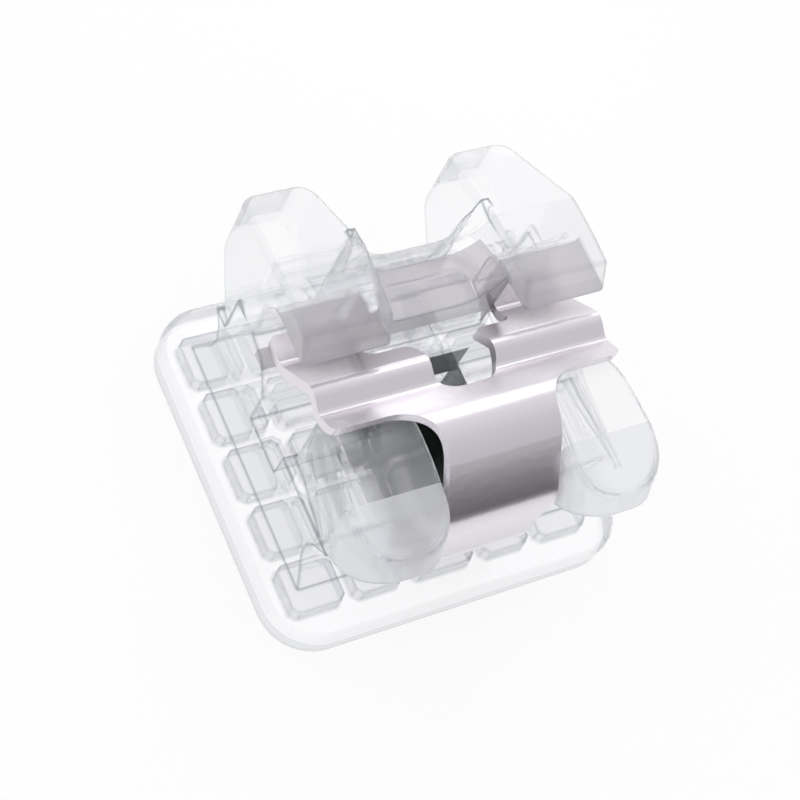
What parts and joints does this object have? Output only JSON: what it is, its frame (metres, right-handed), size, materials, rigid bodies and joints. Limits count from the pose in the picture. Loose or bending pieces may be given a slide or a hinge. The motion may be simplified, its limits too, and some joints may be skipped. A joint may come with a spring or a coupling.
{
  "type": "orthodontic bracket",
  "caption": "Clear ceramic self-ligating dental bracket: a sliding metal spring clip closes its archwire slot between tie wings, on a bonding pad with moulded retention pockets.",
  "frame": {"origin": "middle of the pad's bonding face, which lies on the tooth", "axes": "+X along the archwire, +Y towards the large upper wings, +Z away from the tooth"},
  "size_m": [0.0038, 0.0037, 0.0026],
  "materials": {
    "clear_ceramic": "polished, see-through",
    "clip_metal": "satin, plated"
  },
  "bodies": {
    "bracket_body": {"bracket_body": "clear_ceramic"},
    "spring_clip": {"spring_clip": "clip_metal"}
  },
  "joints": [
    {"name": "clip_slide", "type": "slide", "parent": "bracket_body", "child": "spring_clip", "axis": [0, -0.866, 0.5], "range_m": [0, 0.00098]}
  ]
}
